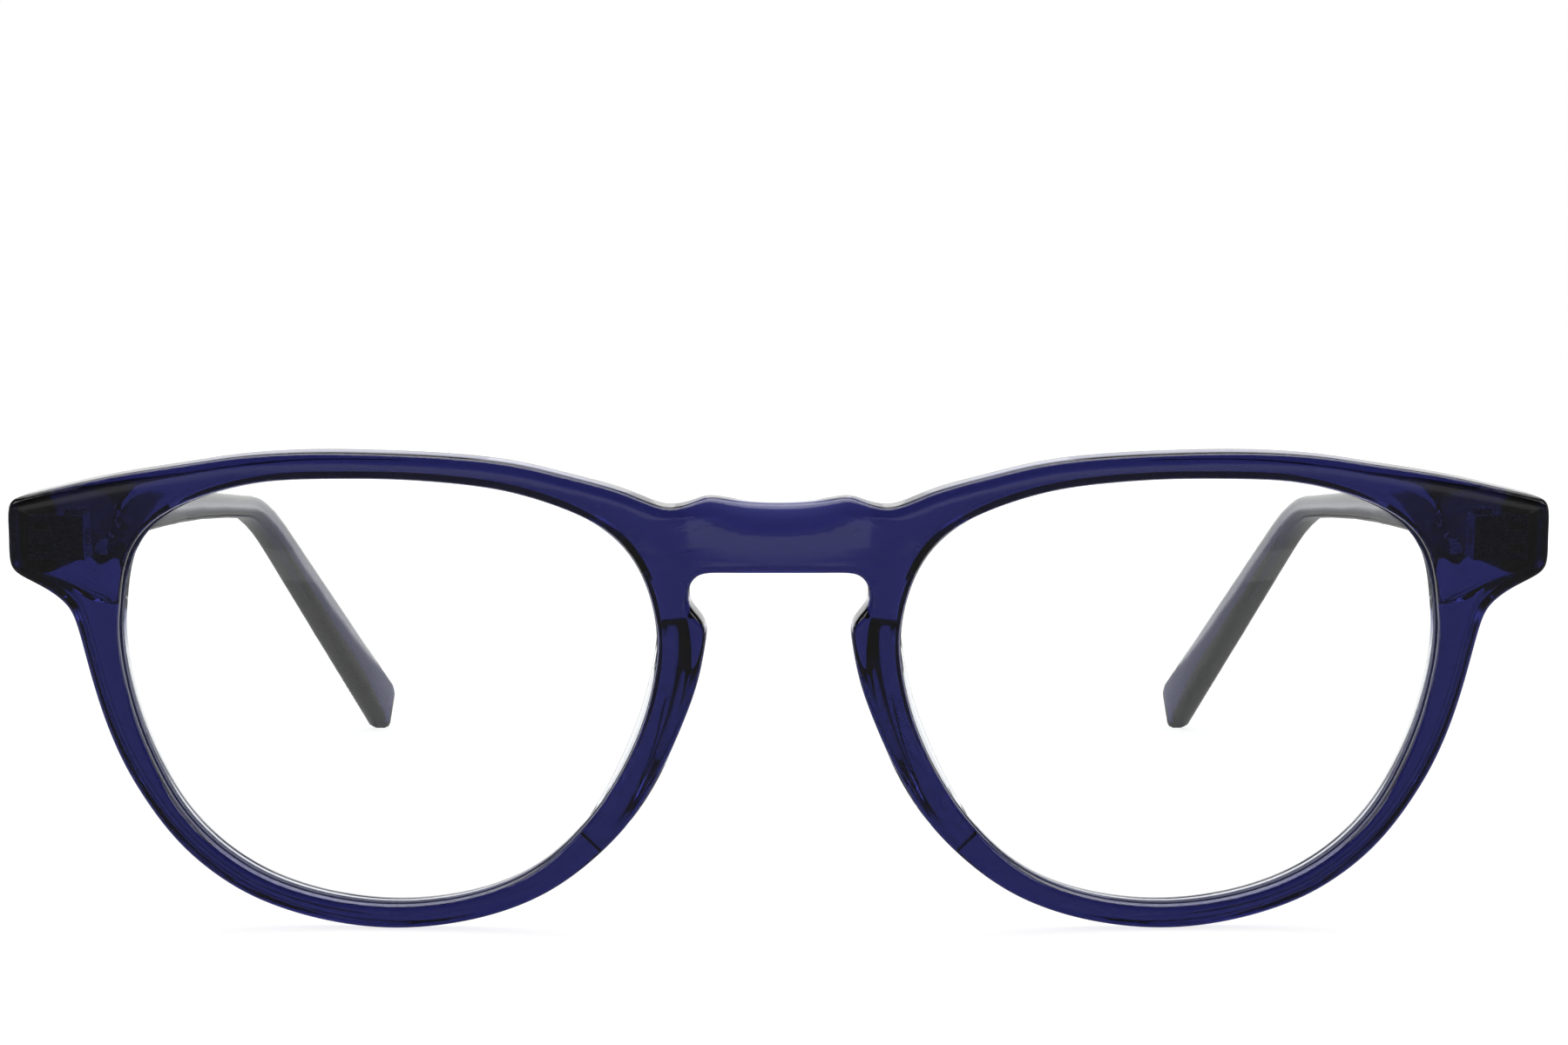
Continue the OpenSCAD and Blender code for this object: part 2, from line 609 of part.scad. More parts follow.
// Rings of a layer. The first one is slid along the temple onto the back of the endpiece.
function temple_rings(drop, outer) =
    let (path = spine(drop))
    [for (k = [0:section_n - 1])
        let (
            s = TEMPLE_S[k], fall = fall_at(s, drop), turn = turn_at(s), keep = keep_at(k),
            t = thick_at(s), h = height_at(s) * keep, d = along(fall, turn),
            section = outer ? outer_section(t, h) : inner_section(t, h)
        )
        [for (q = section)
            let (
                o = t / 2 + (q[0] - t / 2) * keep,
                p = path[k] + o * outward(turn) + q[1] * upward(fall, turn)
            )
            k == 0 ? p + d * ((butt_at - p) * butt_out) / (d * butt_out) : p]];

// The drop of the ear part is the angle at which the tip rests on the table with the rims
MIN_DROP = 5;
MAX_DROP = 75;
floor_z = min([for (k = [0:station_n - 1]) for (q = FACE_PROFILE) rim_point(k, q).z]);
function low_z(drop) =
    min([for (r = temple_rings(drop, true)) for (p = r) p.z]);
function rest_drop(low = MIN_DROP, high = MAX_DROP, n = 16) =
    let (mid = (low + high) / 2)
    n == 0 ? mid : low_z(mid) > floor_z ? rest_drop(mid, high, n - 1) : rest_drop(low, mid, n - 1);
ear_drop = rest_drop();

module temple_outer_layer() {
    color(NAVY) loft(temple_rings(ear_drop, true));
}

// Plate of the hinge that is sunk into the inner face of the temple
foot_from = 0.35;
module temple_foot(grow) {
    translate(temple_start)
        rotate([0, 0, temple_turn])
            translate([grow > 0 ? -1 : 0, foot_from - grow, -foot_h / 2 - grow])
                cube([foot_t + (grow > 0 ? 1 + grow : 0), temple_foot_l - foot_from + 2 * grow,
                      foot_h + 2 * grow]);
}
module temple_inner_layer() {
    color(CRYSTAL)
        difference() {
            loft(temple_rings(ear_drop, false));
            temple_foot(glue);
        }
}

web_lap = 0.15;
module hinge_temple_leaf() {
    color(STEEL)
        difference() {
            union() {
                temple_foot(0);
                at_axis()
                    barrel(1) {
                        cylinder(r = barrel_r, h = barrel_h, $fn = BARREL_FN);
                        translate([0, temple_start.y + foot_from + web_lap - axis_at.y, 0])
                            cube([inner_x - axis_x + web_lap, barrel_r * 1.6, barrel_h]);
                    }
            }
            at_axis()
                translate([0, 0, -stack_h])
                    cylinder(r = bore_r, h = 2 * stack_h, $fn = BARREL_FN);
        }
}

// The open glasses stand on the table with the origin under the middle of their length
front_y = min([for (k = [0:station_n - 1]) for (q = FACE_PROFILE) rim_point(k, q).y]);
back_y = max([for (r = temple_rings(ear_drop, true)) for (p = r) p.y]);
module placed() {
    translate([0, -(front_y + back_y) / 2, -floor_z]) children();
}

placed() front_face_layer();
placed() front_crystal_layer();
placed() on_side("right") lens();  // lens_right
placed() on_side("left") lens();  // lens_left
placed() on_side("right") nose_pad();  // nose_pad_right
placed() on_side("left") nose_pad();  // nose_pad_left
placed() on_side("right") hinge_front_leaf();  // hinge_front_leaf_right
placed() on_side("left") hinge_front_leaf();  // hinge_front_leaf_left
placed() on_side("right") hinge_screw();  // hinge_screw_right
placed() on_side("left") hinge_screw();  // hinge_screw_left
placed() on_side("right") hinge_temple_leaf();  // hinge_temple_leaf_right
placed() on_side("left") hinge_temple_leaf();  // hinge_temple_leaf_left
placed() on_side("right") temple_outer_layer();  // temple_outer_layer_right
placed() on_side("left") temple_outer_layer();  // temple_outer_layer_left
placed() on_side("right") temple_inner_layer();  // temple_inner_layer_right
placed() on_side("left") temple_inner_layer();  // temple_inner_layer_left
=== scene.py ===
"""Open keyhole-bridge eyeglasses: navy acetate laminated on crystal acetate.

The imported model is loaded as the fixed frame. Every acetate, lens and steel part is then given a
smooth skin of its own and a polished finish, in a plain white studio.
"""

import logging
import math
from dataclasses import dataclass, field
from enum import Enum

import bmesh
import bpy
import numpy as np
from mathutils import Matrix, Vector
from mathutils.bvhtree import BVHTree


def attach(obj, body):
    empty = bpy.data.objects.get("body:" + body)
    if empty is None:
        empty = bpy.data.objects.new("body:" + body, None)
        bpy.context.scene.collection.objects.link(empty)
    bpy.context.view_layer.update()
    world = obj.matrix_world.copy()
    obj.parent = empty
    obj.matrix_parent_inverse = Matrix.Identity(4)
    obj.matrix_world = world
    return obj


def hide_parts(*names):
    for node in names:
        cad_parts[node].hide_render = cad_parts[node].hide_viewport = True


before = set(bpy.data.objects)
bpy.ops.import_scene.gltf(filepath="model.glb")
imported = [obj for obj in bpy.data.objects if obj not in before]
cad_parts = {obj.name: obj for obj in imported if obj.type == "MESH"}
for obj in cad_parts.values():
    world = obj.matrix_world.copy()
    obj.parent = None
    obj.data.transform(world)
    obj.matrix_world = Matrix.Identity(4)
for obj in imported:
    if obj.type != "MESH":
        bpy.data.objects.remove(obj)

LOG = logging.getLogger("eyeglasses")
MM = 0.001
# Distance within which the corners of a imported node's loose triangles are one corner
SAME_CORNER = 0.002 * MM
# Greatest angle, in degrees, between two triangles that are joined into a quad
QUAD_TWIST = 25.0
# Greatest gap between two bonded faces, and the least cosine of the angle between them
BOND = 0.05 * MM
BOND_FACING = 0.6

Triple = tuple[float, float, float]
Pair = tuple[float, float]
Socket = bpy.types.NodeSocket
Corners = list[bpy.types.MeshVertex]


class Side(Enum):
    """Which of the two copies of a paired part is meant, as the wearer has them."""

    RIGHT = "right"
    LEFT = "left"


class Body(Enum):
    """The three rigid bodies that the parts ride on."""

    FRONT = "front"
    TEMPLE_RIGHT = "temple_right"
    TEMPLE_LEFT = "temple_left"


class Slot(Enum):
    """The record's material slots."""

    NAVY = "navy_acetate"
    CRYSTAL = "crystal_acetate"
    LENS = "lens"
    STEEL = "hinge_steel"


def temple_body(side: Side) -> Body:
    """Return the body of the temple on one side."""
    return Body.TEMPLE_RIGHT if side is Side.RIGHT else Body.TEMPLE_LEFT


class Bench:
    """The modelling steps that every part shares, done with Blender's own operators."""

    @staticmethod
    def pick(obj: bpy.types.Object) -> None:
        """Select one object alone and make it the active one."""
        bpy.ops.object.select_all(action="DESELECT")
        obj.select_set(True)
        bpy.context.view_layer.objects.active = obj

    @staticmethod
    def skin_of(node: str, name: str) -> bpy.types.Object:
        """Copy a node's mesh into a new object with its loose triangles merged.

        Args:
            node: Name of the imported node.
            name: Name of the new piece.

        Returns:
            The new object, with quads wherever two triangles make one.
        """
        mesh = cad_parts[node].data.copy()
        mesh.name = name
        mesh.materials.clear()
        obj = bpy.data.objects.new(name, mesh)
        bpy.context.scene.collection.objects.link(obj)
        Bench.pick(obj)
        bpy.ops.object.mode_set(mode="EDIT")
        bpy.ops.mesh.select_all(action="SELECT")
        bpy.ops.mesh.remove_doubles(threshold=SAME_CORNER)
        bpy.ops.object.mode_set(mode="OBJECT")
        Bench.join_triangles(obj)
        bpy.ops.mesh.customdata_custom_splitnormals_clear()
        bpy.ops.object.shade_smooth()
        return obj

    @staticmethod
    def join_triangles(obj: bpy.types.Object) -> None:
        """Join two triangles into a quad wherever both have their longest edge in common.

        Args:
            obj: The skin.
        """
        mesh = bmesh.new()
        mesh.from_mesh(obj.data)
        longest = {f: max(f.edges, key=lambda e: e.calc_length()) for f in mesh.faces}
        diagonals = [
            e
            for e in mesh.edges
            if len(e.link_faces) == 2
            and all(len(f.verts) == 3 and longest[f] is e for f in e.link_faces)
            and e.calc_face_angle() < math.radians(QUAD_TWIST)
        ]
        bmesh.ops.dissolve_edges(mesh, edges=diagonals, use_verts=False)
        mesh.to_mesh(obj.data)
        mesh.free()

    @staticmethod
    def round_off(obj: bpy.types.Object, crease_above: float, levels: int) -> None:
        """Smooth a skin by subdivision and keep its true edges.

        Args:
            obj: The skin.
            crease_above: Angle between two faces, in degrees, above which their edge stays.
            levels: Levels of subdivision.
        """
        Bench.pick(obj)
        bpy.ops.object.mode_set(mode="EDIT")
        bpy.ops.mesh.select_mode(type="EDGE")
        bpy.ops.mesh.select_all(action="DESELECT")
        bpy.ops.mesh.edges_select_sharp(sharpness=math.radians(crease_above))
        bpy.ops.transform.edge_crease(value=1.0)
        bpy.ops.mesh.select_all(action="DESELECT")
        bpy.ops.object.mode_set(mode="OBJECT")
        smooth = obj.modifiers.new("round_off", "SUBSURF")
        smooth.levels = levels
        smooth.render_levels = levels
        bpy.ops.object.modifier_apply(modifier=smooth.name)

    @staticmethod
    def polish(obj: bpy.types.Object, edge_angle: float) -> None:
        """Shade a piece smooth, with a sharp edge above the given angle in degrees."""
        Bench.pick(obj)
        bpy.ops.object.shade_smooth_by_angle(angle=math.radians(edge_angle))

    @staticmethod
    def mark_glued(
        obj: bpy.types.Object, others: list[bpy.types.Object], reach: float = BOND
    ) -> None:
        """Mark the faces that are bonded to a neighbour, so that no air film shows there.

        Args:
            obj: The piece whose faces are marked in its glued attribute.
            others: The neighbours.
            reach: Greatest gap of the bond, in metres.
        """
        trees = [
            BVHTree.FromPolygons(
                [v.co.copy() for v in o.data.vertices], [tuple(p.vertices) for p in o.data.polygons]
            )
            for o in others
        ]
        marks = obj.data.attributes.get("glued") or obj.data.attributes.new(
            "glued", "FLOAT", "FACE"
        )
        for polygon in obj.data.polygons:
            start = polygon.center - polygon.normal * reach
            for tree in trees:
                spot, normal, _, _ = tree.ray_cast(start, polygon.normal, 2 * reach)
                if spot is not None and abs(normal.dot(polygon.normal)) > BOND_FACING:
                    marks.data[polygon.index].value = 1.0

    @staticmethod
    def lay_plane(name: str, size: float, at: Triple) -> bpy.types.Object:
        """Lay a flat square sheet that belongs to the studio.

        Args:
            name: Its name.
            size: Length of its sides, in metres.
            at: Its middle, in metres.

        Returns:
            The sheet.
        """
        bpy.ops.object.select_all(action="DESELECT")
        bpy.ops.mesh.primitive_plane_add(size=size, location=at)
        plane = bpy.context.active_object
        plane.name = name
        return plane


class Wiring:
    """The node tree of a material or of the world, while it is being wired."""

    def __init__(self, owner: bpy.types.Material | bpy.types.World) -> None:
        """Take over the owner's node tree and empty it."""
        owner.use_nodes = True
        self.nodes, self.links = owner.node_tree.nodes, owner.node_tree.links
        self.nodes.clear()

    def feed(self, socket: Socket, value: Socket | float) -> None:
        """Give an input a number of its own, or link it to an output."""
        if isinstance(value, bpy.types.NodeSocket):
            self.links.new(value, socket)
        else:
            socket.default_value = value

    def add(
        self, kind: str, inputs: dict[str, object] | None = None, **settings: str
    ) -> bpy.types.bpy_prop_collection:
        """Add a node.

        Args:
            kind: Its type, without the leading ShaderNode.
            inputs: A number, colour or output for each input that is named.
            settings: Its settings.

        Returns:
            The node's outputs.
        """
        node = self.nodes.new(f"ShaderNode{kind}")
        for name, value in settings.items():
            setattr(node, name, value)
        for name, value in (inputs or {}).items():
            self.feed(node.inputs[name], value)
        return node.outputs

    def maths(self, operation: str, *values: Socket | float) -> Socket:
        """Return the output of one step of arithmetic on outputs or numbers."""
        node = self.nodes.new("ShaderNodeMath")
        node.operation = operation
        for socket, value in zip(node.inputs, values):
            self.feed(socket, value)
        return node.outputs[0]

    def ramp(self, source: Socket, start_at: float, end_at: float, start: float = 0.0) -> Socket:
        """Return an output that goes smoothly from a start value to 1.

        Args:
            source: The output that it follows.
            start_at: Value of the source at which it starts.
            end_at: Value of the source at which it reaches 1.
            start: The start value.

        Returns:
            The ramp's output.
        """
        limits = {"Value": source, "From Min": start_at, "From Max": end_at, "To Min": start}
        return self.add("MapRange", limits, interpolation_type="SMOOTHSTEP")["Result"]

    def noise(self, scale: float, detail: float = 2.0) -> Socket:
        """Return a fine noise that lies on the piece itself."""
        place = self.add("TexCoord")["Object"]
        return self.add("TexNoise", {"Vector": place, "Scale": scale, "Detail": detail})["Fac"]

    def blend(self, share: Socket | float, first: Socket, second: Socket) -> Socket:
        """Return two shaders mixed, all of the second one at a share of 1."""
        node = self.nodes.new("ShaderNodeMixShader")
        for socket, value in zip(node.inputs, (share, first, second)):
            self.feed(socket, value)
        return node.outputs["Shader"]

    def both(self, first: Socket, second: Socket) -> Socket:
        """Return the sum of two shaders."""
        node = self.nodes.new("ShaderNodeAddShader")
        for socket, value in zip(node.inputs, (first, second)):
            self.feed(socket, value)
        return node.outputs["Shader"]

    def clear(self) -> Socket:
        """Return a shader that is fully clear and bends nothing."""
        return self.add("BsdfTransparent")["BSDF"]

    def clear_to_lamps(self, shader: Socket) -> Socket:
        """Return a shader that lets the light of the lamps straight through."""
        return self.blend(self.add("LightPath")["Is Shadow Ray"], shader, self.clear())


@dataclass(frozen=True)
class Acetate:
    """Polished transparent acetate sheet.

    The tint is what is left of white light after a path of the given length.
    """

    name: str
    tint: Triple
    path: float
    roughness: float = 0.03
    index: float = 1.49
    haze_scale: float = 260.0
    haze_detail: float = 3.0
    haze_strength: float = 0.03
    haze_depth: float = 0.2 * MM

    def material(self) -> bpy.types.Material:
        """Build the acetate: clear plastic outside and absorption inside.

        Returns:
            A material that is fully clear on glued faces and to the light of the lamps.
        """
        mat = bpy.data.materials.new(self.name)
        wiring = Wiring(mat)
        haze = {
            "Height": wiring.noise(self.haze_scale, self.haze_detail),
            "Strength": self.haze_strength,
            "Distance": self.haze_depth,
        }
        surface = {
            "Base Color": (1, 1, 1, 1),
            "Transmission Weight": 1.0,
            "IOR": self.index,
            "Roughness": self.roughness,
            "Normal": wiring.add("Bump", haze)["Normal"],
        }
        plastic = wiring.add("BsdfPrincipled", surface)["BSDF"]
        glued = wiring.add("Attribute", attribute_name="glued")["Fac"]
        bonded = wiring.blend(glued, plastic, wiring.clear())
        loss = [-math.log(t) / self.path for t in self.tint]
        density = max(loss)
        left = (*[1 - k / density for k in loss], 1)
        inside = wiring.add("VolumeAbsorption", {"Density": density, "Color": left})["Volume"]
        wiring.add(
            "OutputMaterial", {"Surface": wiring.clear_to_lamps(bonded), "Volume": inside}
        )
        return mat


@dataclass(frozen=True)
class CoatedLens:
    """Clear lens, and its ground bevel."""

    name: str = "coated_lens"
    tint: Triple = (0.985, 0.995, 0.99)
    index: float = 1.5
    bevel_grey: Triple = (0.07, 0.08, 0.15)
    bevel_roughness: float = 0.5
    bevel_clear: float = 0.12
    scratch_scale: float = 2500.0
    scratch_span: float = 0.2

    def material(self) -> bpy.types.Material:
        """Build the clear faces.

        Returns:
            A material that lets the lamps through.
        """
        mat = bpy.data.materials.new(self.name)
        wiring = Wiring(mat)
        surface = {
            "Base Color": (*self.tint, 1),
            "Transmission Weight": 1.0,
            "IOR": self.index,
            "Roughness": 0.0,
        }
        glass = wiring.add("BsdfPrincipled", surface)["BSDF"]
        wiring.add("OutputMaterial", {"Surface": wiring.clear_to_lamps(glass)})
        return mat

    def bevel(self) -> bpy.types.Material:
        """Build the ground bevel, dull and blue-grey.

        Returns:
            The material.
        """
        mat = bpy.data.materials.new(self.name + "_bevel")
        wiring = Wiring(mat)
        dark, light = (
            (*[c * share for c in self.bevel_grey], 1)
            for share in (1 - self.scratch_span, 1 + self.scratch_span)
        )
        scratched = {"Factor": wiring.noise(self.scratch_scale), "A": dark, "B": light}
        shade = wiring.add("Mix", scratched, data_type="RGBA")["Result"]
        surface = {"Base Color": shade, "Roughness": self.bevel_roughness}
        ground = wiring.add("BsdfPrincipled", surface)["BSDF"]
        frosted = wiring.blend(self.bevel_clear, ground, wiring.clear())
        wiring.add("OutputMaterial", {"Surface": frosted})
        return mat


@dataclass(frozen=True)
class SatinSteel:
    """Satin finish of the hinge metal."""

    name: str = "satin_steel"
    colour: Triple = (0.56, 0.56, 0.57)
    roughness: float = 0.28
    grain_scale: float = 4000.0
    grain_span: float = 0.08

    def material(self) -> bpy.types.Material:
        """Build the steel, with a fine drawn grain.

        Returns:
            The material.
        """
        mat = bpy.data.materials.new(self.name)
        wiring = Wiring(mat)
        grain = {
            "Value": wiring.noise(self.grain_scale),
            "To Min": self.roughness - self.grain_span,
            "To Max": self.roughness + self.grain_span,
        }
        surface = {
            "Base Color": (*self.colour, 1),
            "Metallic": 1.0,
            "Roughness": wiring.add("MapRange", grain)["Result"],
        }
        metal = wiring.add("BsdfPrincipled", surface)["BSDF"]
        wiring.add("OutputMaterial", {"Surface": metal})
        return mat


NAVY = Acetate("navy_acetate", tint=(0.011, 0.012, 0.085), path=2.9 * MM, roughness=0.06)
TEMPLE_NAVY = Acetate("temple_navy_acetate", tint=(0.012, 0.014, 0.07), path=2.0 * MM)
CRYSTAL = Acetate("crystal_acetate", tint=(0.80, 0.83, 0.88), path=8 * MM)
LENS = CoatedLens()
STEEL = SatinSteel()


@dataclass
class Palette:
    """The built materials, one of each finish."""

    navy: bpy.types.Material = field(default_factory=NAVY.material)
    temple_navy: bpy.types.Material = field(default_factory=TEMPLE_NAVY.material)
    crystal: bpy.types.Material = field(default_factory=CRYSTAL.material)
    lens: bpy.types.Material = field(default_factory=LENS.material)
    bevel: bpy.types.Material = field(default_factory=LENS.bevel)
    steel: bpy.types.Material = field(default_factory=STEEL.material)


def settle(
    obj: bpy.types.Object, node: str, body: Body, mat: bpy.types.Material
) -> None:
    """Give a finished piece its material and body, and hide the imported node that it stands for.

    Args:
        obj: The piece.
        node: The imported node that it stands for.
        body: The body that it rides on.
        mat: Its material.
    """
    obj.data.materials.clear()
    obj.data.materials.append(mat)
    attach(obj, body.value)
    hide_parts(node)
    LOG.info("%s stands for %s, %d faces", obj.name, node, len(obj.data.polygons))


@dataclass
class Front:
    """The laminated front with its nose pads."""

    palette: Palette
    crease_above: float = 50.0
    levels: int = 2
    edge_angle: float = 35.0
    layers: list[bpy.types.Object] = field(default_factory=list)

    def build(self) -> None:
        """Skin the two layers and the two pads, and bond them."""
        face = Bench.skin_of("front_face_layer", "navy_face")
        back = Bench.skin_of("front_crystal_layer", "crystal_back")
        pads = [Bench.skin_of(f"nose_pad_{s.value}", f"pad_{s.value}") for s in Side]
        for obj in (face, back, *pads):
            Bench.round_off(obj, self.crease_above, self.levels)
            Bench.polish(obj, self.edge_angle)
        feet = [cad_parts[f"hinge_front_leaf_{s.value}"] for s in Side]
        Bench.mark_glued(face, [back])
        Bench.mark_glued(back, [face, *pads, *feet])
        for pad in pads:
            Bench.mark_glued(pad, [back])
        self.layers = [face, back]
        settle(face, "front_face_layer", Body.FRONT, self.palette.navy)
        settle(back, "front_crystal_layer", Body.FRONT, self.palette.crystal)
        for pad, side in zip(pads, Side):
            node = f"nose_pad_{side.value}"
            settle(pad, node, Body.FRONT, self.palette.crystal)


class Dome:
    """One smooth surface for both faces of a lens: its depth as a polynomial."""

    def __init__(self, middle: Vector, half_width: float, degree: int) -> None:
        """Set out a level dome.

        Args:
            middle: The middle of the lens.
            half_width: Distance from the middle that counts as 1 in the polynomial.
            degree: The polynomial's degree.
        """
        self.middle = middle
        self.half_width = half_width
        self.powers = [(i, j) for i in range(degree + 1) for j in range(degree + 1 - i)]
        self.factors = np.zeros(len(self.powers))

    def place(self, corner: bpy.types.MeshVertex) -> Vector:
        """Return a corner's place on the dome, as shares of the half width."""
        return (corner.co - self.middle) / self.half_width

    def terms(self, face: Corners) -> np.ndarray:
        """Return the polynomial's terms at each corner of a face."""
        places = map(self.place, face)
        return np.array([[p.x**i * p.z**j for i, j in self.powers] for p in places])

    def fit(self, face: Corners) -> None:
        """Take the shape of the dome from the corners of a face, by least squares."""
        depths = np.array([v.co.y for v in face])
        self.factors = np.linalg.lstsq(self.terms(face), depths, rcond=None)[0]

    def press(self, face: Corners) -> None:
        """Bring the corners of a face to the dome, and keep their mean depth."""
        level = self.terms(face) @ self.factors
        gap = sum(v.co.y for v in face) / len(face) - level.mean()
        for corner, depth in zip(face, level):
            corner.co.y = depth + gap

    def square(self, corner: bpy.types.MeshVertex) -> Vector:
        """Return the dome's normal at a corner, towards the back."""
        p = self.place(corner)
        terms = list(zip(self.factors, self.powers))
        across = sum(c * i * p.x ** max(i - 1, 0) * p.z**j for c, (i, j) in terms)
        along = sum(c * j * p.x**i * p.z ** max(j - 1, 0) for c, (i, j) in terms)
        return Vector((-across / self.half_width, 1, -along / self.half_width)).normalized()


@dataclass
class Lenses:
    """The two clear lenses.

    seat is the greatest gap between a lens and its groove. A corner belongs to the front or back
    face where its normal's share along Y is above facing, and a face of the bevel leans away from Y
    by more than bevel_lean degrees.
    """

    palette: Palette
    front: Front
    crease_above: float = 30.0
    levels: int = 2
    edge_angle: float = 30.0
    seat: float = 0.15 * MM
    dome_degree: int = 6
    dome_half_width: float = 25 * MM
    facing: float = 0.8
    bevel_lean: float = 32.0

    def grind(self, lens: bpy.types.Object) -> None:
        """Bring both faces to one smooth dome, so that the view through them is undistorted.

        Args:
            lens: The skinned lens.
        """
        corners = lens.data.vertices
        middle = sum((v.co for v in corners), Vector()) / len(corners)
        faces = {s: [v for v in corners if s * v.normal.y > self.facing] for s in (-1, 1)}
        dome = Dome(middle, self.dome_half_width, self.dome_degree)
        dome.fit(faces[-1])
        for face in faces.values():
            dome.press(face)
        normals = [Vector()] * len(lens.data.loops)
        for polygon in lens.data.polygons:
            if abs(polygon.normal.y) > self.facing:
                toward = math.copysign(1, polygon.normal.y)
                for loop in polygon.loop_indices:
                    corner = corners[lens.data.loops[loop].vertex_index]
                    normals[loop] = toward * dome.square(corner)
        lens.data.normals_split_custom_set(normals)

    def dull_rim(self, lens: bpy.types.Object) -> None:
        """Give the bevel's finish to the faces that lean away from the lens's axis.

        Args:
            lens: The finished lens.
        """
        lens.data.materials.append(self.palette.bevel)
        limit = math.cos(math.radians(self.bevel_lean))
        for polygon in lens.data.polygons:
            if abs(polygon.normal.y) < limit:
                polygon.material_index = 1

    def build(self) -> None:
        """Skin both lenses and seat them in the groove of the front."""
        for side in Side:
            lens = Bench.skin_of(f"lens_{side.value}", f"clear_lens_{side.value}")
            Bench.round_off(lens, self.crease_above, self.levels)
            Bench.polish(lens, self.edge_angle)
            self.grind(lens)
            settle(lens, f"lens_{side.value}", Body.FRONT, self.palette.lens)
            self.dull_rim(lens)
            for layer in self.front.layers:
                Bench.mark_glued(layer, [lens], self.seat)


@dataclass
class Temple:
    """One temple: its two acetate layers."""

    palette: Palette
    side: Side
    edge_angle: float = 50.0

    def build(self) -> None:
        """Skin both layers and bond them to each other and to the sunk hinge foot."""
        s = self.side.value
        body = temple_body(self.side)
        outer = Bench.skin_of(f"temple_outer_layer_{s}", f"temple_navy_{s}")
        inner = Bench.skin_of(f"temple_inner_layer_{s}", f"temple_crystal_{s}")
        for obj in (outer, inner):
            Bench.polish(obj, self.edge_angle)
        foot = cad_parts[f"hinge_temple_leaf_{s}"]
        Bench.mark_glued(outer, [inner])
        Bench.mark_glued(inner, [outer, foot])
        settle(outer, f"temple_outer_layer_{s}", body, self.palette.temple_navy)
        settle(inner, f"temple_inner_layer_{s}", body, self.palette.crystal)


@dataclass
class Hinge:
    """One hinge: the leaf in the front, the leaf in the temple and the screw."""

    palette: Palette
    side: Side
    edge_angle: float = 30.0

    def build(self) -> None:
        """Skin the three steel parts, smooth between their sharp edges."""
        s = self.side.value
        parts = (
            (f"hinge_front_leaf_{s}", f"front_leaf_{s}", Body.FRONT),
            (f"hinge_screw_{s}", f"screw_{s}", Body.FRONT),
            (f"hinge_temple_leaf_{s}", f"temple_leaf_{s}", temple_body(self.side)),
        )
        for node, name, body in parts:
            obj = Bench.skin_of(node, name)
            Bench.polish(obj, self.edge_angle)
            settle(obj, node, body, self.palette.steel)


@dataclass(frozen=True)
class SoftBox:
    """One soft box: its middle, the point that it faces, its width and height, and its power."""

    name: str
    at: Triple
    aim: Triple
    size: Pair
    watts: float

    def hang(self) -> None:
        """Hang it as an area lamp."""
        data = bpy.data.lights.new(self.name, "AREA")
        data.shape = "RECTANGLE"
        data.size, data.size_y = self.size
        data.energy = self.watts
        obj = bpy.data.objects.new(self.name, data)
        obj.location = self.at
        turn = (Vector(self.aim) - Vector(self.at)).to_track_quat("-Z", "Y")
        obj.rotation_euler = turn.to_euler()
        bpy.context.scene.collection.objects.link(obj)


LAMPS = (
    SoftBox("back_box", (0.0, 0.28, 0.75), (0, -0.03, 0.02), (1.2, 0.8), 6.6),
    SoftBox("strip_box", (0.0, 1.5, 0.78), (0, -0.07, 0.03), (0.24, 0.75), 0.26),
    SoftBox("left_box", (-0.8, -0.5, 0.6), (0, -0.05, 0.02), (0.4, 0.4), 1.5),
    SoftBox("right_box", (0.8, -0.5, 0.6), (0, -0.05, 0.02), (0.4, 0.4), 1.5),
)


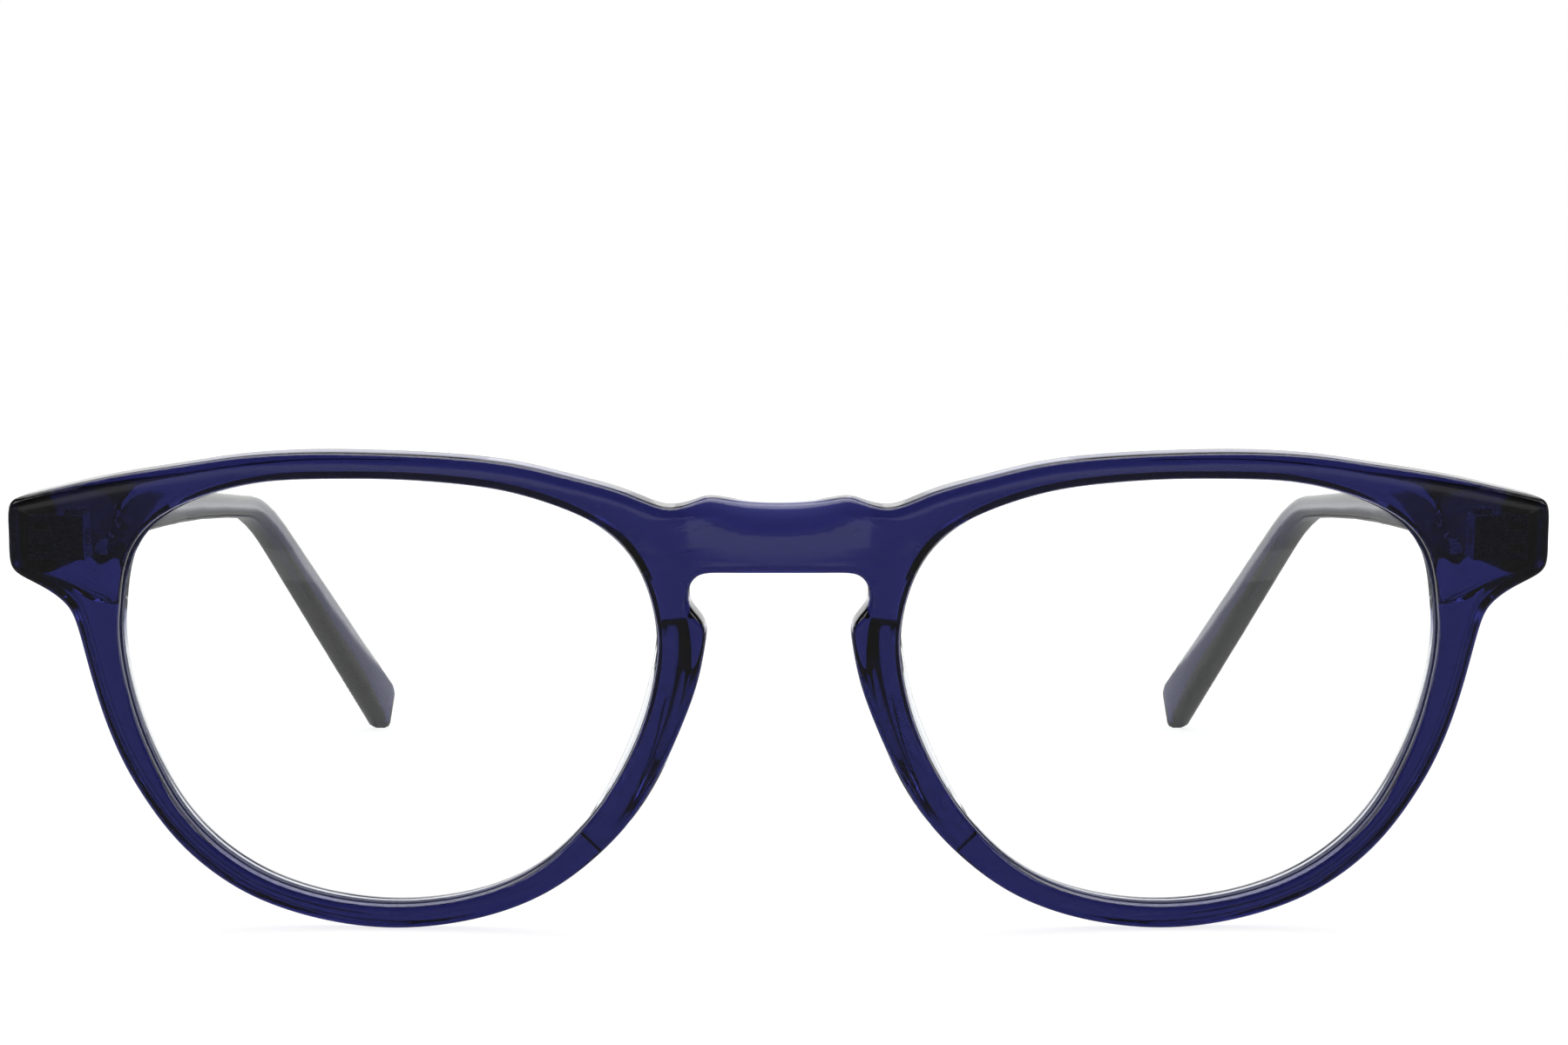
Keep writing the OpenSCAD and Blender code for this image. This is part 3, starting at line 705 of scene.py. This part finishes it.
@dataclass
class Studio:
    """Plain white floor, white surroundings and soft light.

    back_floor, wall_behind and wall_top say where a smooth change starts and where it ends.
    """

    floor_size: float = 6.0
    floor_drop: float = 0.02 * MM
    floor_white: float = 0.24
    floor_lift: float = 0.82
    back_floor: Pair = (0.2, 0.5)
    surround: float = 0.45
    room: float = 0.1
    wall: float = 1.1
    wall_behind: Pair = (-0.1, 0.3)
    wall_top: Pair = (0.34, 0.27)
    card_at: float = -0.295
    card_width: float = 0.5
    card_depth: float = 0.1
    card_lift: float = 0.5 * MM
    card_glow: float = 0.75

    def floor(self) -> None:
        """Lay the floor. It looks white to the eye, keeps its shadows and lights the parts little.

        Far from the glasses it is fully white. Its back part also looks white in the gloss.
        """
        plane = Bench.lay_plane("studio_floor", self.floor_size, (0, 0, -self.floor_drop))
        mat = bpy.data.materials.new("studio_white")
        wiring = Wiring(mat)
        rays = wiring.add("LightPath")
        place = wiring.add("TexCoord")["Object"]
        away = wiring.add("VectorMath", {"Vector": place}, operation="LENGTH")["Value"]
        depth = wiring.add("SeparateXYZ", {"Vector": place})["Y"]
        back = wiring.ramp(depth, *self.back_floor)
        white = wiring.ramp(away, *self.back_floor, start=self.floor_lift)
        eye = wiring.maths("MAXIMUM", rays["Is Camera Ray"], rays["Is Transmission Ray"])
        gloss = wiring.maths("MULTIPLY", rays["Is Glossy Ray"], back)
        strength = wiring.maths("MULTIPLY", wiring.maths("MAXIMUM", eye, gloss), white)
        matt = wiring.add("BsdfDiffuse", {"Color": (*[self.floor_white] * 3, 1)})["BSDF"]
        glow = wiring.add("Emission", {"Strength": strength})["Emission"]
        wiring.add("OutputMaterial", {"Surface": wiring.both(matt, glow)})
        plane.data.materials.append(mat)

    def card(self) -> None:
        """Lay a white bounce card on the floor, in front of the picture's lower edge."""
        card = Bench.lay_plane("bounce_card", 1.0, (0, self.card_at, self.card_lift))
        card.scale = (self.card_width, self.card_depth, 1.0)
        mat = bpy.data.materials.new("card_white")
        wiring = Wiring(mat)
        glow = wiring.add("Emission", {"Strength": self.card_glow})["Emission"]
        wiring.add("OutputMaterial", {"Surface": glow})
        card.data.materials.append(mat)
        card.visible_camera = False
        card.visible_transmission = False
        card.visible_shadow = False

    def world(self) -> None:
        """Surround the table with white for the eye and with a white-walled room for gloss."""
        world = bpy.data.worlds.new("studio_world")
        bpy.context.scene.world = world
        wiring = Wiring(world)
        rays = wiring.add("LightPath")
        direction = wiring.add("TexCoord")["Generated"]
        parts = wiring.add("SeparateXYZ", {"Vector": direction})
        behind = wiring.ramp(parts["Y"], *self.wall_behind)
        below_top = wiring.ramp(parts["Z"], *self.wall_top)
        wall = wiring.maths("MULTIPLY", behind, below_top)
        room = wiring.maths("MULTIPLY_ADD", wall, self.wall - self.room, self.room)
        eye = wiring.maths("MAXIMUM", rays["Is Camera Ray"], rays["Is Transmission Ray"])
        diffuse = wiring.maths("MULTIPLY", rays["Is Diffuse Ray"], self.surround)
        gloss = wiring.maths("MULTIPLY", rays["Is Glossy Ray"], room)
        strength = wiring.maths("MAXIMUM", eye, wiring.maths("MAXIMUM", diffuse, gloss))
        sky = wiring.add("Background", {"Color": (1, 1, 1, 1), "Strength": strength})
        wiring.add("OutputWorld", {"Surface": sky["Background"]})

    def build(self) -> None:
        """Lay the floor and the card, set the world and hang the lamps."""
        self.floor()
        self.card()
        self.world()
        for lamp in LAMPS:
            lamp.hang()


@dataclass
class ViewCamera:
    """The photograph's camera."""

    place: Triple = (0.0, -0.3701, 0.05504)
    focal: float = 75.55
    sensor_width: float = 36.0
    pitch: float = -3.48
    turn: float = -0.09
    near: float = 10 * MM

    def build(self) -> None:
        """Set the camera up."""
        data = bpy.data.cameras.new("view_camera")
        data.lens = self.focal
        data.sensor_width = self.sensor_width
        data.sensor_fit = "HORIZONTAL"
        data.clip_start = self.near
        camera = bpy.data.objects.new("view_camera", data)
        camera.location = self.place
        camera.rotation_euler = (math.radians(90 + self.pitch), 0, math.radians(self.turn))
        bpy.context.scene.collection.objects.link(camera)
        bpy.context.scene.camera = camera
        bpy.context.scene.view_settings.view_transform = "Standard"


def main() -> None:
    """Build every sub-assembly in order."""
    logging.basicConfig(level=logging.INFO, format="%(message)s")
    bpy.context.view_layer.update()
    palette = Palette()
    front = Front(palette)
    front.build()
    Lenses(palette, front).build()
    for side in Side:
        Temple(palette, side).build()
        Hinge(palette, side).build()
    Studio().build()
    ViewCamera().build()


if __name__ == "__main__":
    main()
